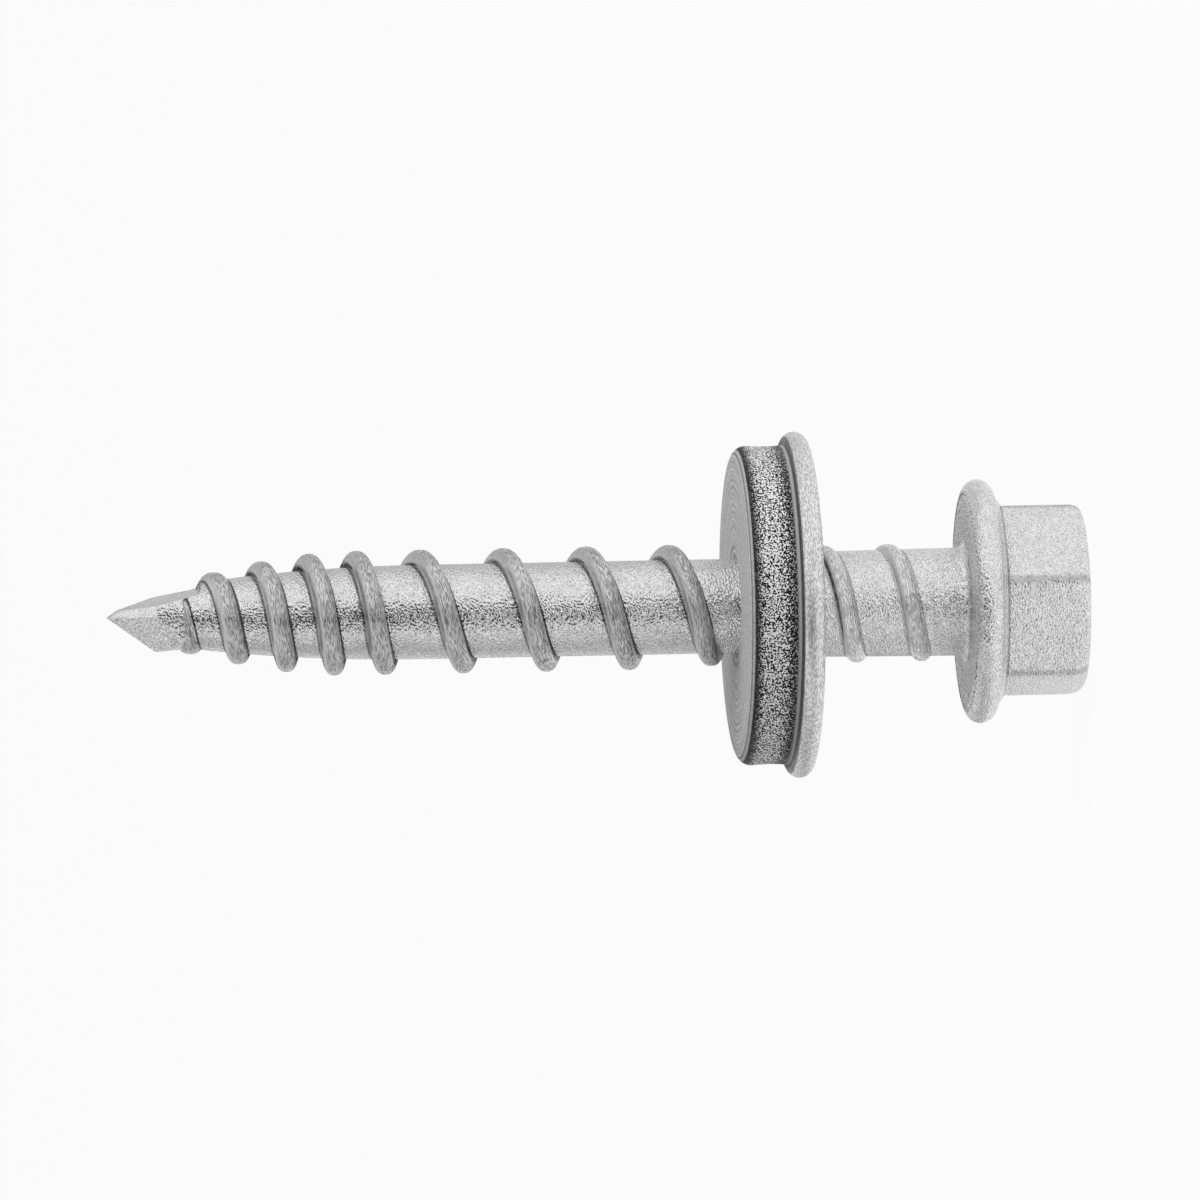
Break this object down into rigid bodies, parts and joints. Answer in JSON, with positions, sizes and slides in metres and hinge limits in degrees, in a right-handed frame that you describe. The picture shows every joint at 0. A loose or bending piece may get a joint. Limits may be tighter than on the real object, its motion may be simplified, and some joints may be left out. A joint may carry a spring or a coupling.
{
  "type": "double-threaded hex-head wood screw with sealing washer",
  "caption": "Self-piercing hex flange wood screw with a coarse lower thread, a short upper thread and a captive bonded sealing washer that slides on its shank.",
  "frame": {"origin": "centre of the hexagon's end face, on which the screw stands on its head", "axes": "+Z along the screw from the head to the point; +X towards the side on which the slash cut opens"},
  "size_m": [0.0156, 0.0156, 0.0441],
  "materials": {
    "zinc_steel": "satin zinc plating with a fine frosted grain",
    "zinc_plate": "satin zinc plating with a fine frosted grain",
    "seal_rubber": "dark grey vulcanised rubber with a lightly dusted skin"
  },
  "bodies": {
    "screw": {"screw": "zinc_steel"},
    "washer": {"washer_plate": "zinc_plate", "washer_seal": "seal_rubber"}
  },
  "joints": [
    {"name": "washer_slide", "type": "slide", "parent": "screw", "child": "washer", "axis": [0, 0, -1], "range_m": [0, 0.0068]}
  ]
}
